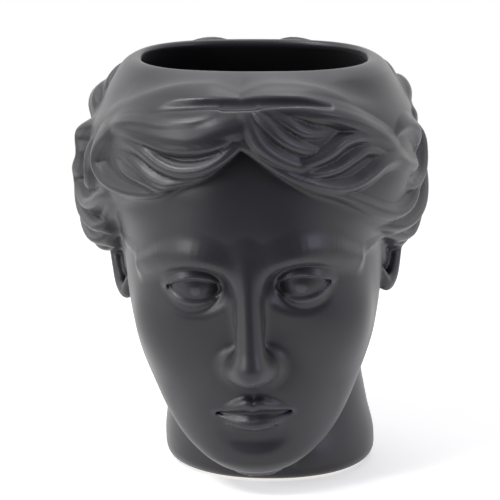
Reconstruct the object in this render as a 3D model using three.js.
import * as THREE from 'three';

// A cast ceramic vase in the shape of a classical woman's head, open at the top.
// The body is one hollow casting: neck and foot, face, ears, waved hair, smooth band and rim.
// Four round pads in the recess under the foot keep it off the table.
// The frame has its origin on the table under the middle of the body, +Z up and the face towards -Y.

// Overall sizes, in millimetres
const vaseHeight = 200;
const faceLength = 160; // hairline to the underside of the chin
const footWidth = 102;
const footDepth = 101;

// Mouth, rim and walls
const mouthWidth = 104;
const mouthDepth = 95;
const rimWidth = 7;
const rimRise = 3.5;
const wall = 5.5;
const floorThickness = 7.4;
const floorFillet = 6;

// Foot
const footRound = 6;
const footRingWidth = 6;

// Pads under the foot
const padDiameter = 12;
const padThickness = 1.5;
const padStandOff = 0.6;
const padEdgeGap = 1.5;
const glueGap = 0.3;

// How the head leans on its neck, in degrees, and the point that it turns about
const forwardLean = 10;
const sideLean = 2.3;
const turn = 2.4;
const pivotInHeadShare = 0.5625; // up from the chin, of the face's length
const pivotInVaseShares = [0, 0.015, 0.565]; // of the vase's height

// Axis that the skin's rows go round, and where on it the rays to the foot and to the rim start,
// in shares of the vase's height, with how a ray walks in to the skin
const axisShares = [0, -0.01];
const lowestRayShare = 0.22;
const highestRayShare = 0.83;
const farthestShare = 0.75;
const walkShare = 0.5;
const leastWalkShare = 0.0025; // of the face's length
const softenShare = 0.2; // how far the glaze draws a point to the mean of its neighbours
const sampleShares = [[0, 0], [0.4, 0], [-0.4, 0], [0, 0.4], [0, -0.4]]; // of a row and of a column

// Share of the way up for a share of the rows, which crowds them over the face
const skinRowShares = [[0, 0], [0.1, 0.16], [0.6, 0.6], [1, 1]];

// How fine the skin is
const columns = 80;
const frontCrowdingShare = 0.5;
const outerRows = 54;
const rimSteps = 6;
const footSteps = 3;
const padSides = 20;
const sweepSteps = 4;
const halvings = 30;

// Skull, in shares of the face's length:
// height, half width, widest line, front, back, squareness of the front
const skullShares = [
  [0, 0.07, -0.41, -0.46, -0.37, 2],
  [0.02, 0.135, -0.39, -0.5, -0.31, 2],
  [0.055, 0.195, -0.355, -0.525, -0.22, 2.05],
  [0.115, 0.25, -0.305, -0.52, -0.11, 2.1],
  [0.22, 0.31, -0.21, -0.515, 0.13, 2.2],
  [0.33, 0.355, -0.13, -0.512, 0.3, 2.3],
  [0.47, 0.38, -0.045, -0.5, 0.39, 2.4],
  [0.6, 0.388, 0.02, -0.5, 0.42, 2.5],
  [0.72, 0.39, 0.03, -0.515, 0.435, 2.45],
  [0.845, 0.384, 0.037, -0.5, 0.43, 2.4],
  [0.94, 0.362, 0.037, -0.465, 0.41, 2.25],
  [1.03, 0.32, 0.03, -0.4, 0.355, 2.15],
  [1.11, 0.25, 0.025, -0.29, 0.275, 2.1],
  [1.175, 0.14, 0.025, -0.14, 0.15, 2.1],
];

// Hair under its locks, in the same shares: height, half width, widest line, front, back
const hairShares = [
  [0.19, 0.29, 0, -0.19, 0.3],
  [0.31, 0.34, 0, -0.25, 0.37],
  [0.44, 0.385, 0.005, -0.31, 0.425],
  [0.56, 0.42, 0.02, -0.375, 0.47],
  [0.66, 0.44, 0.025, -0.425, 0.49],
  [0.78, 0.456, 0.025, -0.485, 0.5],
  [0.9, 0.462, 0.025, -0.52, 0.485],
  [1, 0.456, 0.025, -0.52, 0.46],
  [1.075, 0.438, 0.02, -0.495, 0.415],
  [1.14, 0.4, 0.02, -0.435, 0.36],
  [1.19, 0.36, 0.015, -0.36, 0.315],
  [1.24, 0.3, 0.012, -0.26, 0.26],
];

// Where the hair starts and stops round the head: degrees from the front, then two heights
const hairEdgeShares = [
  [0, 1.02, 1.125],
  [12, 0.965, 1.135],
  [25, 0.9, 1.13],
  [40, 0.84, 1.1],
  [55, 0.74, 1.04],
  [68, 0.66, 0.985],
  [80, 0.605, 0.955],
  [92, 0.56, 0.945],
  [108, 0.5, 0.945],
  [125, 0.39, 0.95],
  [150, 0.29, 0.95],
  [180, 0.25, 0.965],
];

// Neck: height as a share of the vase's, then shares of the foot's half width and half depth:
// shift right, shift back, half width, front, back
const neckShares = [
  [0.03, 0.155, 0.17, 1, 1, 1],
  [0.06, 0.15, 0.175, 1, 0.99, 0.99],
  [0.14, 0.125, 0.2, 0.955, 0.92, 0.96],
  [0.25, 0.09, 0.23, 0.92, 0.85, 1],
  [0.4, 0.05, 0.26, 0.95, 0.79, 1.14],
  [0.55, 0.02, 0.277, 1.02, 0.71, 1.23],
];

// Band from the hair to the rim: height, then shares of the rim's half width and half depth
const bandShares = [
  [0.6, 1.02, 1.06],
  [0.675, 1.19, 1.23],
  [0.75, 1.245, 1.3],
  [0.825, 1.235, 1.29],
  [0.875, 1.22, 1.265],
  [0.915, 1.18, 1.22],
  [0.95, 1.12, 1.155],
  [0.975, 1.065, 1.09],
  [0.99, 1.01, 1.03],
  [1, 0.97, 0.975],
];
const bandShiftShare = -0.02; // of the vase's height

// Core that the cavity follows, one wall inside it: height, then shares of the core's half width
// and half depth at the mouth: shift right, shift back, half width, front, back. Squareness comes last.
const coreShares = [
  [0.06, 0.135, 0.16, 0.82, 0.89, 0.89, 2.1],
  [0.1, 0.125, 0.165, 0.815, 0.88, 0.89, 2.05],
  [0.16, 0.105, 0.16, 0.79, 1, 0.92, 2.05],
  [0.225, 0.06, 0.12, 0.8, 1.28, 0.98, 2.05],
  [0.31, 0.03, 0.07, 0.88, 1.44, 1.09, 2.05],
  [0.4, 0.03, 0.03, 1, 1.48, 1.22, 2.1],
  [0.5, 0, 0, 1.08, 1.46, 1.36, 2.15],
  [0.6, -0.01, -0.02, 1.13, 1.46, 1.48, 2.25],
  [0.68, 0, -0.03, 1.24, 1.46, 1.58, 2.35],
  [0.78, 0, -0.05, 1.34, 1.47, 1.58, 2.4],
  [0.86, 0, -0.07, 1.32, 1.39, 1.44, 2.45],
  [0.92, 0, -0.075, 1.22, 1.24, 1.24, 2.5],
  [0.96, 0, -0.075, 1.1, 1.1, 1.1, 2.55],
  [0.985, 0, -0.075, 1.02, 1.02, 1.02, 2.55],
  [1, 0, -0.075, 1, 1, 1, 2.55],
];
const cavityRowShares = [0.03, 0.08, 0.15, 0.25, 0.38, 0.5, 0.62, 0.75, 0.88, 1];

// Rounded forms of the face, in shares of its length: centre, radii, blend, tilt in degrees
const muzzleShares = [[0, -0.4125, 0.23], [0.17, 0.1125, 0.15], 0.075, [0, 0, 0]];
const chinShares = [[0, -0.4375, 0.072], [0.1125, 0.09, 0.081], 0.07, [0, 0, 0]];
const cheekShares = [[0.194, -0.3375, 0.4375], [0.125, 0.1125, 0.125], 0.0875, [0, 0, 0]];
const socketShares = [[0.159, -0.5375, 0.584], [0.1125, 0.109, 0.074], 0.031, [0, 6, 0]];
const noseTipShares = [[0, -0.572, 0.372], [0.051, 0.056, 0.0475], 0.025, [0, 0, 0]];
const nostrilWingShares = [[0.051, -0.522, 0.3575], [0.0325, 0.059, 0.035], 0.031, [8, 0, -14]];
const nostrilShares = [[0.034, -0.559, 0.3175], [0.017, 0.0325, 0.014], 0.01, [12, 0, -10]];

// Swept forms, in the same shares: a point, then the half width across and the half height out
const browShares = [
  [0.025, -0.481, 0.631, 0.019, 0.026],
  [0.075, -0.497, 0.6625, 0.026, 0.027],
  [0.15, -0.4875, 0.682, 0.028, 0.025],
  [0.225, -0.444, 0.668, 0.027, 0.021],
  [0.281, -0.3875, 0.631, 0.022, 0.014],
];
const noseBridgeShares = [
  [0, -0.466, 0.6875, 0.047, 0.05],
  [0, -0.494, 0.619, 0.041, 0.05],
  [0, -0.519, 0.5375, 0.041, 0.05],
  [0, -0.547, 0.45, 0.046, 0.053],
  [0, -0.572, 0.381, 0.0475, 0.054],
];
const upperLipShares = [
  [-0.1125, -0.5, 0.214, 0.006, 0.0075],
  [-0.059, -0.52, 0.234, 0.017, 0.0225],
  [-0.021, -0.5325, 0.246, 0.021, 0.0275],
  [0, -0.535, 0.241, 0.02, 0.028],
  [0.021, -0.5325, 0.246, 0.021, 0.0275],
  [0.059, -0.52, 0.234, 0.017, 0.0225],
  [0.1125, -0.5, 0.214, 0.006, 0.0075],
];
const lowerLipShares = [
  [-0.094, -0.499, 0.204, 0.0075, 0.009],
  [-0.05, -0.515, 0.1925, 0.024, 0.026],
  [0, -0.524, 0.186, 0.029, 0.0325],
  [0.05, -0.515, 0.1925, 0.024, 0.026],
  [0.094, -0.499, 0.204, 0.0075, 0.009],
];
const mouthLineShares = [
  [-0.116, -0.51, 0.21, 0.003, 0.006],
  [-0.0625, -0.536, 0.214, 0.0045, 0.01],
  [-0.022, -0.5525, 0.219, 0.0045, 0.011],
  [0, -0.556, 0.214, 0.0045, 0.011],
  [0.022, -0.5525, 0.219, 0.0045, 0.011],
  [0.0625, -0.536, 0.214, 0.0045, 0.01],
  [0.116, -0.51, 0.21, 0.003, 0.006],
];
const lipGrooveShares = [
  [0, -0.554, 0.3125, 0.012, 0.012],
  [0, -0.566, 0.275, 0.014, 0.014],
];
const chinCreaseShares = [
  [-0.069, -0.531, 0.1375, 0.019, 0.015],
  [0, -0.5475, 0.134, 0.021, 0.0175],
  [0.069, -0.531, 0.1375, 0.019, 0.015],
];
const browBlendShare = 0.05;
const noseBlendShare = 0.0375;
const lipBlendShare = 0.0125;
const upperLipRiseShare = 0.35; // how far its sweep faces up, of how far it faces forward
const lowerLipDropShare = 0.15;
const mouthLineBlendShare = 0.009;
const lipGrooveBlendShare = 0.016;
const chinCreaseBlendShare = 0.05;

// Eyes and lids, in the same shares
const eyeCentreShares = [0.151, -0.4, 0.581];
const eyeRadiusShare = 0.084;
const eyeBlendShare = 0.005;
const lidHalfWidthShare = 0.0875;
const lidDropShare = 0.004; // outer corner above the inner one
const upperLidShares = { rise: 0.036, start: -0.001, thick: 0.0145, deep: 0.043, blend: 0.01 };
const lowerLidShares = { rise: -0.0275, start: -0.005, thick: 0.011, deep: 0.0395, blend: 0.015 };
const lidCurvePower = 0.78;
const lidFadeShare = 0.0125;
const lidEdgeSlopeShare = 0.8;
const lidFadeSlopeShare = 0.7;
const lidReachShare = 1.2; // of its half width

// Ears, in the same shares: the rim of the ear as a sweep, then its body and its hollow
const earRimShares = [
  [0.375, -0.069, 0.5875, 0.019, 0.019],
  [0.4, -0.0375, 0.631, 0.019, 0.021],
  [0.419, 0.019, 0.6375, 0.019, 0.0225],
  [0.431, 0.056, 0.6, 0.0175, 0.0225],
  [0.428, 0.056, 0.5375, 0.0156, 0.021],
  [0.419, 0.025, 0.469, 0.017, 0.021],
  [0.406, -0.019, 0.415, 0.024, 0.022],
  [0.39, -0.056, 0.406, 0.026, 0.021],
  [0.375, -0.075, 0.444, 0.019, 0.0175],
];
const earRimBlendShare = 0.0125;
const earBodyShares = [[0.375, -0.006, 0.525], [0.031, 0.056, 0.1], 0.019, [0, 0, 0]];
const earHollowShares = [[0.416, -0.025, 0.519], [0.028, 0.031, 0.056], 0.0125, [0, 0, 10]];

// Locks of hair: degrees from the front, then shares of the face's length: height, lift, half width
const leftWaveShares = [
  [[1, 1.12, -0.01, 0.02], [7, 1.112, 0.005, 0.036], [15, 1.098, 0.012, 0.048],
    [24, 1.09, 0.014, 0.046], [34, 1.08, 0.014, 0.038], [44, 1.06, 0.012, 0.03],
    [52, 1.035, 0.006, 0.02], [58, 1, 0, 0.012]],
  [[2, 1.07, -0.01, 0.02], [8, 1.035, 0.002, 0.036], [16, 1.005, 0.008, 0.044],
    [24, 1.003, 0.01, 0.042], [32, 1.02, 0.01, 0.036], [40, 1.035, 0.01, 0.03],
    [48, 1.02, 0.008, 0.026], [56, 0.97, 0, 0.014]],
  [[3, 1.03, -0.012, 0.018], [9, 0.985, -0.004, 0.032], [16, 0.955, 0.002, 0.038],
    [24, 0.945, 0.006, 0.04], [32, 0.955, 0.01, 0.04], [40, 0.975, 0.012, 0.04],
    [48, 0.97, 0.012, 0.038], [55, 0.93, 0.008, 0.03], [60, 0.88, 0, 0.016]],
  [[8, 0.965, -0.012, 0.014], [15, 0.92, -0.006, 0.024], [23, 0.898, 0, 0.03], [31, 0.89, 0.006, 0.034],
    [39, 0.895, 0.01, 0.036], [47, 0.895, 0.012, 0.034], [55, 0.86, 0.006, 0.024],
    [60, 0.82, -0.004, 0.012]],
];
const leftCurlShares = [
  [[60, 1.02, -0.01, 0.02], [67, 0.985, 0.018, 0.036], [71, 0.93, 0.034, 0.046],
    [69, 0.875, 0.036, 0.048], [62, 0.835, 0.028, 0.044], [53, 0.82, 0.016, 0.034],
    [45, 0.83, 0.004, 0.018]],
  [[80, 0.955, -0.02, 0.02], [86, 0.91, 0.02, 0.04], [87, 0.85, 0.042, 0.048], [84, 0.79, 0.052, 0.048],
    [78, 0.745, 0.046, 0.044], [70, 0.72, 0.03, 0.034], [62, 0.725, 0.01, 0.018]],
  [[93, 0.9, -0.02, 0.022], [96, 0.84, 0.024, 0.042], [95, 0.775, 0.042, 0.048],
    [91, 0.71, 0.056, 0.048], [84, 0.66, 0.05, 0.042], [76, 0.625, 0.026, 0.032],
    [68, 0.62, 0.006, 0.016]],
  [[100, 0.8, -0.02, 0.022], [101, 0.735, 0.03, 0.042], [99, 0.67, 0.058, 0.048],
    [94, 0.615, 0.062, 0.046], [87, 0.575, 0.044, 0.038], [79, 0.55, 0.016, 0.026],
    [73, 0.555, 0, 0.012]],
  [[106, 0.68, -0.016, 0.02], [106, 0.615, 0.034, 0.042], [102, 0.56, 0.052, 0.044],
    [96, 0.52, 0.046, 0.038], [89, 0.5, 0.024, 0.026], [83, 0.505, 0, 0.012]],
];
const rightWaveShares = [
  [[1, 1.11, -0.008, 0.02], [7, 1.11, 0.006, 0.034], [16, 1.105, 0.012, 0.042],
    [26, 1.09, 0.014, 0.044], [36, 1.06, 0.014, 0.04], [45, 1.025, 0.014, 0.034],
    [53, 0.975, 0.012, 0.028], [59, 0.93, 0.008, 0.022], [65, 0.9, 0, 0.012]],
  [[2, 1.07, -0.006, 0.02], [8, 1.045, 0.006, 0.034], [15, 1.025, 0.01, 0.04], [23, 1.02, 0.012, 0.038],
    [31, 1.035, 0.012, 0.032], [39, 1.03, 0.01, 0.028], [47, 0.99, 0.008, 0.022], [53, 0.95, 0, 0.012]],
  [[3, 1.03, -0.01, 0.018], [9, 0.985, 0, 0.03], [17, 0.965, 0.006, 0.036], [26, 0.955, 0.01, 0.036],
    [35, 0.97, 0.012, 0.036], [44, 0.97, 0.014, 0.036], [52, 0.935, 0.014, 0.034],
    [59, 0.895, 0.01, 0.026], [66, 0.87, 0, 0.014]],
  [[7, 0.965, -0.012, 0.014], [14, 0.93, -0.002, 0.024], [22, 0.905, 0.004, 0.03],
    [31, 0.895, 0.008, 0.032], [40, 0.91, 0.012, 0.034], [48, 0.91, 0.014, 0.034],
    [55, 0.875, 0.012, 0.028], [61, 0.84, 0.004, 0.016]],
  [[14, 0.915, -0.012, 0.012], [22, 0.875, -0.004, 0.02], [31, 0.858, 0.002, 0.024],
    [40, 0.86, 0.006, 0.026], [48, 0.85, 0.008, 0.024], [55, 0.81, 0.002, 0.014]],
];
const rightCurlShares = [
  [[70, 0.965, -0.016, 0.02], [76, 0.93, 0.014, 0.036], [80, 0.885, 0.03, 0.044],
    [79, 0.835, 0.038, 0.046], [73, 0.795, 0.034, 0.042], [65, 0.77, 0.02, 0.032],
    [57, 0.775, 0.002, 0.016]],
  [[84, 0.91, -0.018, 0.02], [90, 0.87, 0.012, 0.038], [92, 0.82, 0.032, 0.046],
    [89, 0.765, 0.046, 0.048], [82, 0.72, 0.042, 0.042], [74, 0.69, 0.026, 0.032],
    [66, 0.69, 0.004, 0.016]],
  [[95, 0.85, -0.018, 0.022], [99, 0.79, 0.026, 0.042], [98, 0.725, 0.044, 0.048],
    [93, 0.665, 0.054, 0.046], [86, 0.62, 0.042, 0.038], [78, 0.595, 0.018, 0.028],
    [71, 0.6, 0, 0.014]],
  [[103, 0.755, -0.018, 0.022], [105, 0.69, 0.03, 0.042], [102, 0.63, 0.052, 0.048],
    [97, 0.575, 0.054, 0.044], [90, 0.535, 0.036, 0.036], [82, 0.515, 0.012, 0.024],
    [76, 0.525, -0.004, 0.012]],
  [[108, 0.65, -0.016, 0.02], [108, 0.585, 0.03, 0.04], [104, 0.53, 0.044, 0.042],
    [98, 0.49, 0.036, 0.036], [91, 0.475, 0.016, 0.026], [86, 0.485, -0.004, 0.012]],
];
const backLockShares = [
  [[88, 0.9, -0.03, 0.02], [100, 0.925, 0, 0.036], [114, 0.925, 0.012, 0.044],
    [128, 0.89, 0.016, 0.048], [142, 0.84, 0.016, 0.046], [155, 0.765, 0.014, 0.04],
    [167, 0.68, 0.008, 0.03], [176, 0.61, -0.01, 0.02]],
  [[100, 0.94, -0.03, 0.02], [114, 0.965, -0.008, 0.03], [128, 0.96, 0.006, 0.04],
    [142, 0.925, 0.014, 0.044], [155, 0.86, 0.014, 0.04], [166, 0.765, 0.01, 0.032],
    [175, 0.66, -0.006, 0.02]],
  [[128, 0.99, -0.03, 0.02], [142, 0.99, -0.006, 0.032], [155, 0.96, 0.01, 0.04],
    [166, 0.87, 0.012, 0.034], [175, 0.75, 0, 0.022]],
  [[152, 1.01, -0.03, 0.02], [164, 0.995, -0.002, 0.034], [174, 0.93, 0.006, 0.034],
    [179, 0.82, 0, 0.024]],
  [[92, 0.8, -0.03, 0.02], [104, 0.84, 0.004, 0.036], [117, 0.825, 0.016, 0.044],
    [130, 0.78, 0.02, 0.046], [143, 0.735, 0.018, 0.044], [156, 0.67, 0.014, 0.036],
    [168, 0.61, 0, 0.022]],
  [[96, 0.7, -0.03, 0.02], [108, 0.735, 0.006, 0.036], [120, 0.715, 0.018, 0.044],
    [133, 0.67, 0.02, 0.044], [146, 0.635, 0.018, 0.042], [158, 0.585, 0.012, 0.034],
    [169, 0.55, -0.002, 0.022]],
  [[100, 0.6, -0.03, 0.02], [111, 0.63, 0.006, 0.036], [123, 0.61, 0.018, 0.042],
    [136, 0.575, 0.018, 0.042], [149, 0.54, 0.016, 0.038], [160, 0.5, 0.01, 0.03],
    [170, 0.49, -0.004, 0.02]],
  [[102, 0.51, -0.03, 0.02], [114, 0.53, 0.004, 0.034], [127, 0.505, 0.014, 0.038],
    [140, 0.475, 0.014, 0.036], [153, 0.445, 0.01, 0.032], [165, 0.43, 0, 0.022]],
  [[110, 0.43, -0.02, 0.016], [123, 0.42, 0.004, 0.028], [137, 0.4, 0.008, 0.03],
    [151, 0.375, 0.006, 0.028], [165, 0.36, -0.004, 0.018]],
];
const knotShares = [
  [[163, 0.545, 0, 0.06], [172, 0.55, 0.024, 0.08], [180, 0.552, 0.03, 0.086], [188, 0.55, 0.024, 0.08],
    [197, 0.545, 0, 0.06]],
  [[165, 0.61, 0, 0.02], [173, 0.635, 0.028, 0.034], [182, 0.625, 0.046, 0.038],
    [190, 0.585, 0.054, 0.038], [195, 0.53, 0.044, 0.036], [192, 0.475, 0.024, 0.03],
    [184, 0.45, 0.006, 0.02]],
  [[196, 0.46, 0, 0.02], [187, 0.44, 0.026, 0.032], [177, 0.455, 0.042, 0.038],
    [169, 0.505, 0.048, 0.038], [166, 0.56, 0.036, 0.034], [170, 0.6, 0.012, 0.024]],
];

const waveHeightShare = 0.6; // of its half width
const curlHeightShare = 0.8;
const lockRootShare = 0.01; // of the face's length: how far a lock reaches under the hair's surface
const lockLeanShare = 0.35;
const lockBlendShare = 0.025;
const crownStartShare = 1.05;
const crownSpanShare = 0.156;
const crownFlattenShare = 0.6;
const crownLiftShare = 0.8;
const secondSideRiseShare = 0.0125; // the back's locks lie a little higher on the second side

// Blends between the large forms, in shares of the face's length
const hairlineBlendShare = 0.056;
const hairTopBlendShare = 0.05;
const neckBlendShare = 0.056;
const neckTopBlendShare = 0.075;
const hairlineSlopeShare = 0.7;
const hairTopSlopeShare = 0.8;
const hairBlendShare = 0.0156;
const bandBlendShare = 0.019;
const cavityBlendShare = 0.4; // of the wall

const rimHalfWidth = mouthWidth / 2 + rimWidth;
const rimHalfDepth = mouthDepth / 2 + rimWidth;
const rimSquareness = 2.55;
const roundness = 2.1;

// Smooth curve through keys that never overshoots them, flat past its ends
function curveThrough(heights, values) {
  const count = heights.length;
  const slopes = [];
  for (let i = 0; i < count - 1; i++) {
    slopes.push((values[i + 1] - values[i]) / (heights[i + 1] - heights[i]));
  }
  const tangents = [slopes[0]];
  for (let i = 1; i < count - 1; i++) {
    const before = slopes[i - 1];
    const after = slopes[i];
    const near = heights[i] - heights[i - 1];
    const far = heights[i + 1] - heights[i];
    const first = 2 * far + near;
    const second = far + 2 * near;
    tangents.push(before * after > 0 ? (first + second) / (first / before + second / after) : 0);
  }
  tangents.push(slopes[count - 2]);
  return (height) => {
    if (height <= heights[0]) return values[0];
    if (height >= heights[count - 1]) return values[count - 1];
    let i = 0;
    while (height > heights[i + 1]) i++;
    const span = heights[i + 1] - heights[i];
    const t = (height - heights[i]) / span;
    const s = 1 - t;
    const start = values[i] * (1 + 2 * t) * s * s + span * tangents[i] * t * s * s;
    const end = values[i + 1] * t * t * (3 - 2 * t) - span * tangents[i + 1] * t * t * s;
    return start + end;
  };
}

// One curve for each column of a table, whose first column is the height and whose others have units
function tableCurves(rows, heightUnit, units) {
  const heights = rows.map((row) => row[0] * heightUnit);
  return units.map((unit, k) => curveThrough(heights, rows.map((row) => row[k + 1] * unit)));
}

const face = faceLength;
const skullCurves = tableCurves(skullShares, face, [face, face, face, face, 1]);
const hairCurves = tableCurves(hairShares, face, [face, face, face, face]);
const hairEdgeCurves = tableCurves(hairEdgeShares, 1, [face, face]);
const halfFoot = footWidth / 2;
const halfFootDepth = footDepth / 2;
const footUnits = [halfFoot, halfFootDepth, halfFoot, halfFootDepth, halfFootDepth];
const neckCurves = tableCurves(neckShares, vaseHeight, footUnits);
const bandCurves = tableCurves(bandShares, vaseHeight, [rimHalfWidth, rimHalfDepth]);
const coreWidth = mouthWidth / 2 + wall;
const coreDepth = mouthDepth / 2 + wall;
const coreUnits = [coreWidth, coreDepth, coreWidth, coreDepth, coreDepth, 1];
const coreCurves = tableCurves(coreShares, vaseHeight, coreUnits);
const bandShift = bandShiftShare * vaseHeight;

// Smooth minimum and maximum, which round the line where two forms meet
function blendMin(a, b, blend) {
  const near = Math.max(blend - Math.abs(a - b), 0) / blend;
  return Math.min(a, b) - (near * near * blend) / 4;
}

function blendMax(a, b, blend) {
  return -blendMin(-a, -b, blend);
}

// How far a point is from a rounded outline, along the line from its middle
function outlineGap(x, y, halfWidth, front, back, frontPower, backPower) {
  const depth = y < 0 ? front : back;
  const power = y < 0 ? frontPower : backPower;
  const across = Math.pow(Math.abs(x) / halfWidth, power);
  const along = Math.pow(Math.abs(y) / depth, power);
  const grown = Math.pow(across + along, 1 / power);
  return grown > 0 ? Math.hypot(x, y) * (1 - 1 / grown) : -Math.min(halfWidth, depth);
}

// The same outline's reach from its middle, at an angle from the front
function outlineReach(angle, halfWidth, front, back, power) {
  const across = Math.abs(Math.sin(angle)) / halfWidth;
  const along = Math.abs(Math.cos(angle)) / (Math.cos(angle) > 0 ? front : back);
  return Math.pow(Math.pow(across, power) + Math.pow(along, power), -1 / power);
}

function skullGap(p) {
  const [halfWidth, middle, front, back, power] = skullCurves.map((curve) => curve(p.z));
  const [x, y] = [p.x, p.y - middle];
  const side = outlineGap(x, y, halfWidth, middle - front, back - middle, power, roundness);
  return Math.max(side, -p.z);
}

function hairGap(p) {
  const [halfWidth, middle, front, back] = hairCurves.map((curve) => curve(p.z));
  const [x, y] = [p.x, p.y - middle];
  const side = outlineGap(x, y, halfWidth, middle - front, back - middle, roundness, roundness);
  const degrees = THREE.MathUtils.radToDeg(Math.atan2(Math.abs(p.x), middle - p.y));
  const [lower, upper] = hairEdgeCurves.map((curve) => curve(degrees));
  const aboveLower = blendMax(side, (lower - p.z) * hairlineSlopeShare, hairlineBlendShare * face);
  return blendMax(aboveLower, (p.z - upper) * hairTopSlopeShare, hairTopBlendShare * face);
}

function neckGap(p) {
  const [right, rear, halfWidth, front, back] = neckCurves.map((curve) => curve(p.z));
  const side = outlineGap(p.x - right, p.y - rear, halfWidth, front, back, roundness, roundness);
  const top = neckShares[neckShares.length - 1][0] * vaseHeight;
  return blendMax(side, p.z - top, neckTopBlendShare * face);
}

function bandGap(p) {
  const [halfWidth, halfDepth] = bandCurves.map((curve) => curve(p.z));
  const y = p.y - bandShift;
  const side = outlineGap(p.x, y, halfWidth, halfDepth, halfDepth, rimSquareness, rimSquareness);
  return Math.max(side, bandShares[0][0] * vaseHeight - p.z);
}

// A form knows how far a point is from it, the box it can touch, its blend and whether it cuts
function form(gap, box, blend, cuts) {
  return { gap, box: box.clone().expandByScalar(blend), blend, cuts };
}

function mirrored(original) {
  const flipped = new THREE.Vector3();
  const box = original.box.clone();
  box.min.x = -original.box.max.x;
  box.max.x = -original.box.min.x;
  const gap = (p) => original.gap(flipped.set(-p.x, p.y, p.z));
  return { ...original, gap, box };
}

function pair(original) {
  return [original, mirrored(original)];
}

// An egg-like form
function roundForm([centreShares, radiiShares, blendShare, tilt], cuts = false) {
  const centre = new THREE.Vector3(...centreShares).multiplyScalar(face);
  const radii = new THREE.Vector3(...radiiShares).multiplyScalar(face);
  const turned = new THREE.Euler(...tilt.map(THREE.MathUtils.degToRad), 'ZYX');
  const untilt = new THREE.Quaternion().setFromEuler(turned).invert();
  const reach = Math.max(radii.x, radii.y, radii.z);
  const box = new THREE.Box3(centre.clone().subScalar(reach), centre.clone().addScalar(reach));
  const local = new THREE.Vector3();
  const gap = (p) => {
    local.copy(p).sub(centre).applyQuaternion(untilt).divide(radii);
    const grown = local.length();
    const slope = local.divide(radii).length();
    return slope > 0 ? (grown * (grown - 1)) / slope : -reach;
  };
  return form(gap, box, blendShare * face, cuts);
}

// A form swept through stations, each a centre, a half width, a half height and the way out
function sweptForm(stations, blend, cuts = false) {
  const box = new THREE.Box3();
  const legs = [];
  for (const station of stations) {
    const reach = Math.max(station.across, station.out) + blend;
    box.expandByPoint(station.centre.clone().addScalar(reach));
    box.expandByPoint(station.centre.clone().subScalar(reach));
  }
  for (let i = 0; i < stations.length - 1; i++) {
    const from = stations[i];
    const to = stations[i + 1];
    const along = to.centre.clone().sub(from.centre);
    const length = along.length();
    along.divideScalar(length);
    const out = from.normal.clone().addScaledVector(along, -from.normal.dot(along)).normalize();
    const side = new THREE.Vector3().crossVectors(along, out);
    const reach = Math.max(from.across, from.out, to.across, to.out) + blend;
    const legBox = new THREE.Box3().setFromPoints([from.centre, to.centre]).expandByScalar(reach);
    legs.push({ from, to, along, length, out, side, legBox });
  }
  const offset = new THREE.Vector3();
  const gap = (p) => {
    let nearest = face;
    for (const { from, to, along, length, out, side, legBox } of legs) {
      if (!legBox.containsPoint(p)) continue;
      offset.copy(p).sub(from.centre);
      const t = THREE.MathUtils.clamp(offset.dot(along) / length, 0, 1);
      offset.addScaledVector(along, -t * length);
      const across = from.across + (to.across - from.across) * t;
      const high = from.out + (to.out - from.out) * t;
      const least = Math.min(across, high);
      const grown = Math.hypot(offset.dot(side) / across, offset.dot(out) / high, offset.dot(along) / least);
      nearest = Math.min(nearest, (grown - 1) * least);
    }
    return nearest;
  };
  return { gap, box, blend, cuts };
}

// Points between hand-placed rows on a smooth line through them
function smoothRows(rows) {
  const width = rows[0].length;
  const first = rows[0].map((value, k) => 2 * value - rows[1][k]);
  const last = rows[rows.length - 1].map((value, k) => 2 * value - rows[rows.length - 2][k]);
  const keys = [first, ...rows, last];
  const fine = [];
  for (let i = 1; i < keys.length - 2; i++) {
    for (let step = 0; step < sweepSteps; step++) {
      const t = step / sweepSteps;
      const row = [];
      for (let k = 0; k < width; k++) {
        const [a, b, c, d] = [keys[i - 1][k], keys[i][k], keys[i + 1][k], keys[i + 2][k]];
        const bend = (2 * a - 5 * b + 4 * c - d) * t * t + (3 * b - a - 3 * c + d) * t * t * t;
        row.push((2 * b + (c - a) * t + bend) / 2);
      }
      fine.push(row);
    }
  }
  fine.push(rows[rows.length - 1]);
  return fine;
}

function sweepThrough(rows, blendShare, out, cuts = false) {
  const stations = smoothRows(rows).map(([x, y, z, across, high]) => ({
    centre: new THREE.Vector3(x, y, z).multiplyScalar(face),
    across: across * face,
    out: high * face,
    normal: out,
  }));
  return sweptForm(stations, blendShare * face, cuts);
}

// Eyelids are shells over the eyeball, which stop at an almond-shaped opening
function eyelid(lid, upper) {
  const centre = new THREE.Vector3(...eyeCentreShares).multiplyScalar(face);
  const radius = eyeRadiusShare * face;
  const halfWidth = lidHalfWidthShare * face;
  const gap = (p) => {
    const across = (p.x - centre.x) / halfWidth;
    const arch = Math.pow(Math.max(1 - across * across, 0), lidCurvePower);
    const edge = centre.z + (lid.start + lidDropShare * across + lid.rise * arch) * face;
    const shell = p.distanceTo(centre) - radius - lid.thick * face;
    const inside = upper ? edge - p.z : p.z - edge;
    const beyond = -inside - lid.deep * face;
    const open = Math.max(shell, inside * lidEdgeSlopeShare);
    return blendMax(open, beyond * lidFadeSlopeShare, lidFadeShare * face);
  };
  const reach = halfWidth * lidReachShare;
  const box = new THREE.Box3(centre.clone().subScalar(reach), centre.clone().addScalar(reach));
  return form(gap, box, lid.blend * face, false);
}

// Where a point on the hair lies, at an angle from the front and a height, and the way out there
function overHair(degrees, height, lift) {
  const angle = THREE.MathUtils.degToRad(degrees);
  const [halfWidth, middle, front, back] = hairCurves.map((curve) => curve(height));
  const out = new THREE.Vector3(Math.sin(angle), -Math.cos(angle), 0);
  const reach = outlineReach(angle, halfWidth, middle - front, back - middle, roundness);
  return { point: new THREE.Vector3(0, middle, height).addScaledVector(out, reach + lift), out };
}

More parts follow.
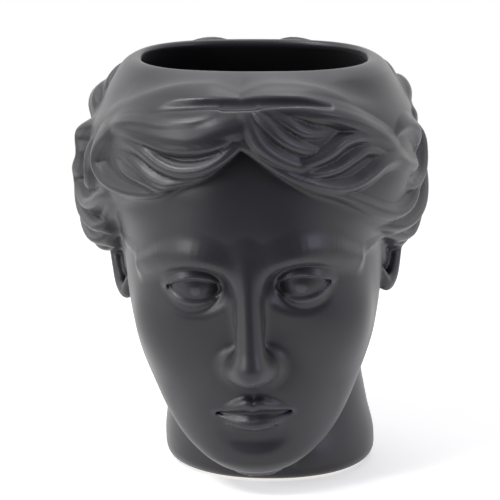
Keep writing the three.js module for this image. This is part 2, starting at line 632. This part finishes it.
// A lock is swept over the hair, and leans to one side so that it laps over the next one
function lock(rows, side, heightShare, rise = 0) {
  const stations = smoothRows(rows).map(([degrees, height, lift, halfWidth]) => {
    const top = lift + halfWidth * heightShare;
    const root = Math.min(lift - halfWidth * heightShare, -lockRootShare);
    const { point, out } = overHair(degrees * side, (height + rise) * face, (top + root) / 2 * face);
    const tilt = THREE.MathUtils.clamp((height - crownStartShare) / crownSpanShare, 0, 1);
    out.multiplyScalar(1 - crownFlattenShare * tilt);
    out.z = crownLiftShare * tilt;
    out.normalize();
    return { centre: point, across: halfWidth * face, out: (top - root) / 2 * face, normal: out };
  });
  const upright = stations.map(({ normal }) => normal.clone());
  stations.forEach((station, i) => {
    const before = stations[Math.max(i - 1, 0)].centre;
    const after = stations[Math.min(i + 1, stations.length - 1)].centre;
    const beside = after.clone().sub(before).cross(upright[i]).normalize();
    station.normal.addScaledVector(beside, lockLeanShare * side).normalize();
  });
  return sweptForm(stations, lockBlendShare * face);
}

const forward = new THREE.Vector3(0, -1, 0);
const upperLipOut = new THREE.Vector3(0, -1, upperLipRiseShare).normalize();
const lowerLipOut = new THREE.Vector3(0, -1, -lowerLipDropShare).normalize();
const eyeRadiiShares = [eyeRadiusShare, eyeRadiusShare, eyeRadiusShare];
const eyeShares = [eyeCentreShares, eyeRadiiShares, eyeBlendShare, [0, 0, 0]];

const faceForms = [
  roundForm(muzzleShares),
  roundForm(chinShares),
  ...pair(roundForm(cheekShares)),
  ...pair(sweepThrough(browShares, browBlendShare, forward)),
  ...pair(roundForm(socketShares, true)),
  sweepThrough(noseBridgeShares, noseBlendShare, forward),
  roundForm(noseTipShares),
  ...pair(roundForm(nostrilWingShares)),
  ...pair(roundForm(nostrilShares, true)),
  ...pair(roundForm(eyeShares)),
  ...pair(eyelid(upperLidShares, true)),
  ...pair(eyelid(lowerLidShares, false)),
  sweepThrough(upperLipShares, lipBlendShare, upperLipOut),
  sweepThrough(lowerLipShares, lipBlendShare, lowerLipOut),
  sweepThrough(mouthLineShares, mouthLineBlendShare, forward, true),
  sweepThrough(lipGrooveShares, lipGrooveBlendShare, forward, true),
  sweepThrough(chinCreaseShares, chinCreaseBlendShare, forward, true),
];

const earForms = [
  ...pair(sweepThrough(earRimShares, earRimBlendShare, new THREE.Vector3(1, 0, 0))),
  ...pair(roundForm(earBodyShares)),
  ...pair(roundForm(earHollowShares, true)),
];

const locks = [
  ...backLockShares.map((rows) => lock(rows, 1, waveHeightShare)),
  ...backLockShares.map((rows) => lock(rows, -1, waveHeightShare, secondSideRiseShare)),
  ...knotShares.map((rows) => lock(rows, 1, curlHeightShare)),
  ...leftWaveShares.map((rows) => lock(rows, -1, waveHeightShare)),
  ...leftCurlShares.map((rows) => lock(rows, -1, curlHeightShare)),
  ...rightWaveShares.map((rows) => lock(rows, 1, waveHeightShare)),
  ...rightCurlShares.map((rows) => lock(rows, 1, curlHeightShare)),
];

// The head's frame: x to its left, y to its back, z up from the underside of the chin
const headLean = new THREE.Euler(
  THREE.MathUtils.degToRad(forwardLean),
  THREE.MathUtils.degToRad(-sideLean),
  THREE.MathUtils.degToRad(-turn),
  'ZYX',
);
const vaseToHead = new THREE.Matrix4().makeRotationFromEuler(headLean);
const vasePivot = new THREE.Vector3(...pivotInVaseShares).multiplyScalar(vaseHeight);
vaseToHead.setPosition(vasePivot);
vaseToHead.multiply(new THREE.Matrix4().makeTranslation(0, 0, -pivotInHeadShare * face));
vaseToHead.invert();

function blendForms(gap, forms, p) {
  let blended = gap;
  for (const { gap: formGap, box, blend, cuts } of forms) {
    if (!box.containsPoint(p)) continue;
    blended = cuts ? blendMax(blended, -formGap(p), blend) : blendMin(blended, formGap(p), blend);
  }
  return blended;
}

// How far a point of the vase's frame is from the outer skin, less than zero inside it
const inHead = new THREE.Vector3();
function skinGap(p) {
  inHead.copy(p).applyMatrix4(vaseToHead);
  let gap = blendForms(skullGap(inHead), [...faceForms, ...earForms], inHead);
  gap = blendMin(gap, neckGap(p), neckBlendShare * face);
  gap = blendMin(gap, hairGap(inHead), hairBlendShare * face);
  gap = blendMin(gap, bandGap(p), bandBlendShare * face);
  return blendForms(gap, locks, inHead);
}

// The cavity follows the core, one wall inside it, and is nowhere nearer than that to the skin
function cavityGap(p) {
  const [right, rear, halfWidth, front, back, power] = coreCurves.map((curve) => curve(p.z));
  const [x, y] = [p.x - right, p.y - rear];
  const side = outlineGap(x, y, halfWidth - wall, front - wall, back - wall, power, power);
  return blendMax(side, skinGap(p) + wall, cavityBlendShare * wall);
}

// Every row of the skin has its points in the same upright half planes round this axis
const axisPoint = new THREE.Vector3(...axisShares, 0).multiplyScalar(vaseHeight);
const farthest = farthestShare * vaseHeight;

function columnAngle(column) {
  const turnAngle = (2 * Math.PI * column) / columns;
  return turnAngle - frontCrowdingShare * Math.sin(turnAngle);
}

function pointOnRay(direction, reach, origin) {
  return origin.clone().addScaledVector(direction, reach);
}

// Where a ray that starts inside leaves a form, found by halving
function exitReach(gap, direction, origin, inner, outer) {
  let [near, far] = [inner, outer];
  for (let step = 0; step < halvings; step++) {
    const middle = (near + far) / 2;
    if (gap(pointOnRay(direction, middle, origin)) < 0) near = middle;
    else far = middle;
  }
  return near;
}

// How far out the skin is on a ray, found by walking in from outside
function skinReach(direction, origin) {
  let reach = farthest;
  let gap = skinGap(pointOnRay(direction, reach, origin));
  while (gap > 0) {
    const step = Math.max(gap * walkShare, leastWalkShare * face);
    gap = skinGap(pointOnRay(direction, reach - step, origin));
    if (gap < 0) reach = exitReach(skinGap, direction, origin, reach - step, reach);
    else reach -= step;
  }
  return reach;
}

// A level row of points round the axis, where a form's outline is at a height, drawn in by an inset
function levelRow(gap, height, insetAt) {
  const origin = onAxis(height);
  const row = [];
  for (let column = 0; column < columns; column++) {
    const angle = columnAngle(column);
    const direction = new THREE.Vector3(Math.sin(angle), -Math.cos(angle), 0);
    const reach = exitReach(gap, direction, origin, 0, farthest);
    row.push(pointOnRay(direction, reach - insetAt, origin));
  }
  return row;
}

function atHeight(row, height) {
  return row.map((point) => new THREE.Vector3(point.x, point.y, height));
}

// Footing: recess, flat ring and rounded edge
function footRows() {
  const roof = padThickness + glueGap;
  const recess = levelRow(neckGap, padStandOff + footRound, footRound + footRingWidth);
  const rows = [[onAxis(roof)], atHeight(recess, roof)];
  rows.push(atHeight(recess, padStandOff));
  for (let step = 0; step <= footSteps; step++) {
    const angle = (step / footSteps) * (Math.PI / 2);
    const inset = footRound * (1 - Math.sin(angle));
    const row = levelRow(neckGap, padStandOff + footRound, inset);
    rows.push(atHeight(row, padStandOff + footRound * (1 - Math.cos(angle))));
  }
  return rows;
}

function onAxis(height) {
  return new THREE.Vector3(axisPoint.x, axisPoint.y, height);
}

function elevation(point, origin) {
  return Math.atan2(point.z - origin.z, Math.hypot(point.x - origin.x, point.y - origin.y));
}

// Outer skin between the foot's edge and the rim, with its rows closest over the face.
// Each point lies at the mean reach of a few rays, so that steep relief stays even.
function skinRows(lowest, highest) {
  const heightShare = curveThrough(skinRowShares.map((row) => row[0]), skinRowShares.map((row) => row[1]));
  const lowOrigin = onAxis(lowestRayShare * vaseHeight);
  const highOrigin = onAxis(highestRayShare * vaseHeight);
  const lowTilts = lowest.map((point) => elevation(point, lowOrigin));
  const highTilts = highest.map((point) => elevation(point, highOrigin));
  const between = (tilts, column) => {
    const before = Math.floor(column);
    const [first, second] = [before, before + 1].map((k) => tilts[(k + columns) % columns]);
    return first + (second - first) * (column - before);
  };
  const ray = (i, column) => {
    const share = heightShare(i / outerRows);
    const tilt = between(lowTilts, column) * (1 - share) + between(highTilts, column) * share;
    const angle = columnAngle(column);
    const flat = Math.cos(tilt);
    const direction = new THREE.Vector3(Math.sin(angle) * flat, -Math.cos(angle) * flat, Math.sin(tilt));
    return { direction, origin: lowOrigin.clone().lerp(highOrigin, share) };
  };
  const rows = [lowest];
  for (let i = 1; i < outerRows; i++) {
    rows.push(lowest.map((low, column) => {
      const reaches = sampleShares.map(([rowShare, columnShare]) => {
        const { direction, origin } = ray(i + rowShare, column + columnShare);
        return skinReach(direction, origin);
      });
      const { direction, origin } = ray(i, column);
      return pointOnRay(direction, reaches.reduce((sum, reach) => sum + reach) / reaches.length, origin);
    }));
  }
  rows.push(highest);
  return rows.slice(1, -1).map((row, i) => row.map((point, column) => {
    const mean = rows[i][column].clone().add(rows[i + 2][column]);
    mean.add(row[(column + 1) % columns]).add(row[(column + columns - 1) % columns]).divideScalar(4);
    return point.clone().lerp(mean, softenShare);
  }));
}

// Rolled lip of the rim, from the outside over to the mouth
function rimRows(outer, inner) {
  const rows = [];
  for (let step = 1; step < rimSteps; step++) {
    const angle = (step / rimSteps) * Math.PI;
    rows.push(outer.map((point, column) => {
      const over = point.clone().lerp(inner[column], (1 - Math.cos(angle)) / 2);
      over.z += rimRise * Math.sin(angle);
      return over;
    }));
  }
  return rows;
}

// Cavity from the mouth down to its flat floor
function cavityRows(shoulder) {
  const floor = padStandOff + floorThickness;
  const filletTop = floor + floorFillet;
  const rows = [];
  for (const share of cavityRowShares) {
    rows.push(levelRow(cavityGap, shoulder + (filletTop - shoulder) * share, 0));
  }
  for (let step = 1; step <= footSteps; step++) {
    const angle = (step / footSteps) * (Math.PI / 2);
    const row = levelRow(cavityGap, filletTop, floorFillet * (1 - Math.cos(angle)));
    rows.push(atHeight(row, filletTop - floorFillet * Math.sin(angle)));
  }
  rows.push([onAxis(floor)]);
  return rows;
}

// Closes rows of points into one mesh, each four-cornered face split along its shorter diagonal.
// The first and the last row are single points.
function meshRows(rows) {
  const points = rows.flat();
  const starts = [];
  rows.reduce((count, row) => {
    starts.push(count);
    return count + row.length;
  }, 0);
  const at = (i, column) => starts[i] + (rows[i].length > 1 ? column % columns : 0);
  const faces = [];
  for (let i = 0; i < rows.length - 1; i++) {
    for (let column = 0; column < columns; column++) {
      const corners = [at(i, column), at(i, column + 1), at(i + 1, column + 1), at(i + 1, column)];
      const [a, b, c, d] = corners;
      const shorter = points[a].distanceTo(points[c]) < points[b].distanceTo(points[d]);
      if (a === b) faces.push(a, c, d);
      else if (c === d) faces.push(a, b, c);
      else if (shorter) faces.push(a, b, c, a, c, d);
      else faces.push(a, b, d, b, c, d);
    }
  }
  const geometry = new THREE.BufferGeometry().setFromPoints(points);
  geometry.setIndex(faces);
  geometry.computeVertexNormals();
  return geometry;
}

function vaseBody() {
  const shoulder = vaseHeight - rimRise;
  const foot = footRows();
  const rimOuter = levelRow(bandGap, shoulder, 0);
  const rimInner = levelRow(cavityGap, shoulder, 0);
  const skin = skinRows(foot[foot.length - 1], rimOuter);
  const rim = rimRows(rimOuter, rimInner);
  const cavity = cavityRows(shoulder);
  const glaze = new THREE.MeshStandardMaterial({ color: 0x2b2b2f, roughness: 0.45, metalness: 0 });
  const rows = [...foot, ...skin, rimOuter, ...rim, rimInner, ...cavity];
  const body = new THREE.Mesh(meshRows(rows), glaze);
  body.name = 'vase_body';
  return body;
}

// One pad, whose top lies a glue line under the recess
function footPad(name, x, y) {
  const disc = new THREE.CylinderGeometry(padDiameter / 2, padDiameter / 2, padThickness, padSides);
  const felt = new THREE.MeshStandardMaterial({ color: 0x1c1c1e, roughness: 0.95, metalness: 0 });
  const pad = new THREE.Mesh(disc, felt);
  pad.name = name;
  pad.rotation.x = Math.PI / 2;
  pad.position.set(x, y, padThickness / 2);
  return pad;
}

function footPads() {
  const [right, rear] = neckCurves.map((curve) => curve(padStandOff + footRound));
  const inset = footRound + footRingWidth + padEdgeGap + padDiameter / 2;
  const diagonal = Math.PI / 4;
  const reach = outlineReach(diagonal, halfFoot, halfFootDepth, halfFootDepth, roundness) - inset;
  const step = reach * Math.sin(diagonal);
  return [
    footPad('foot_pad_front_left', right - step, rear - step),
    footPad('foot_pad_front_right', right + step, rear - step),
    footPad('foot_pad_rear_left', right - step, rear + step),
    footPad('foot_pad_rear_right', right + step, rear + step),
  ];
}

const vase = new THREE.Group();
vase.name = 'vase';
const pieces = new THREE.Group();
pieces.add(vaseBody(), ...footPads());
vase.add(pieces);

// The origin goes under the middle of the whole vase's box
const middle = new THREE.Box3().setFromObject(pieces, true).getCenter(new THREE.Vector3());
pieces.position.set(-middle.x, -middle.y, 0);

export default vase;
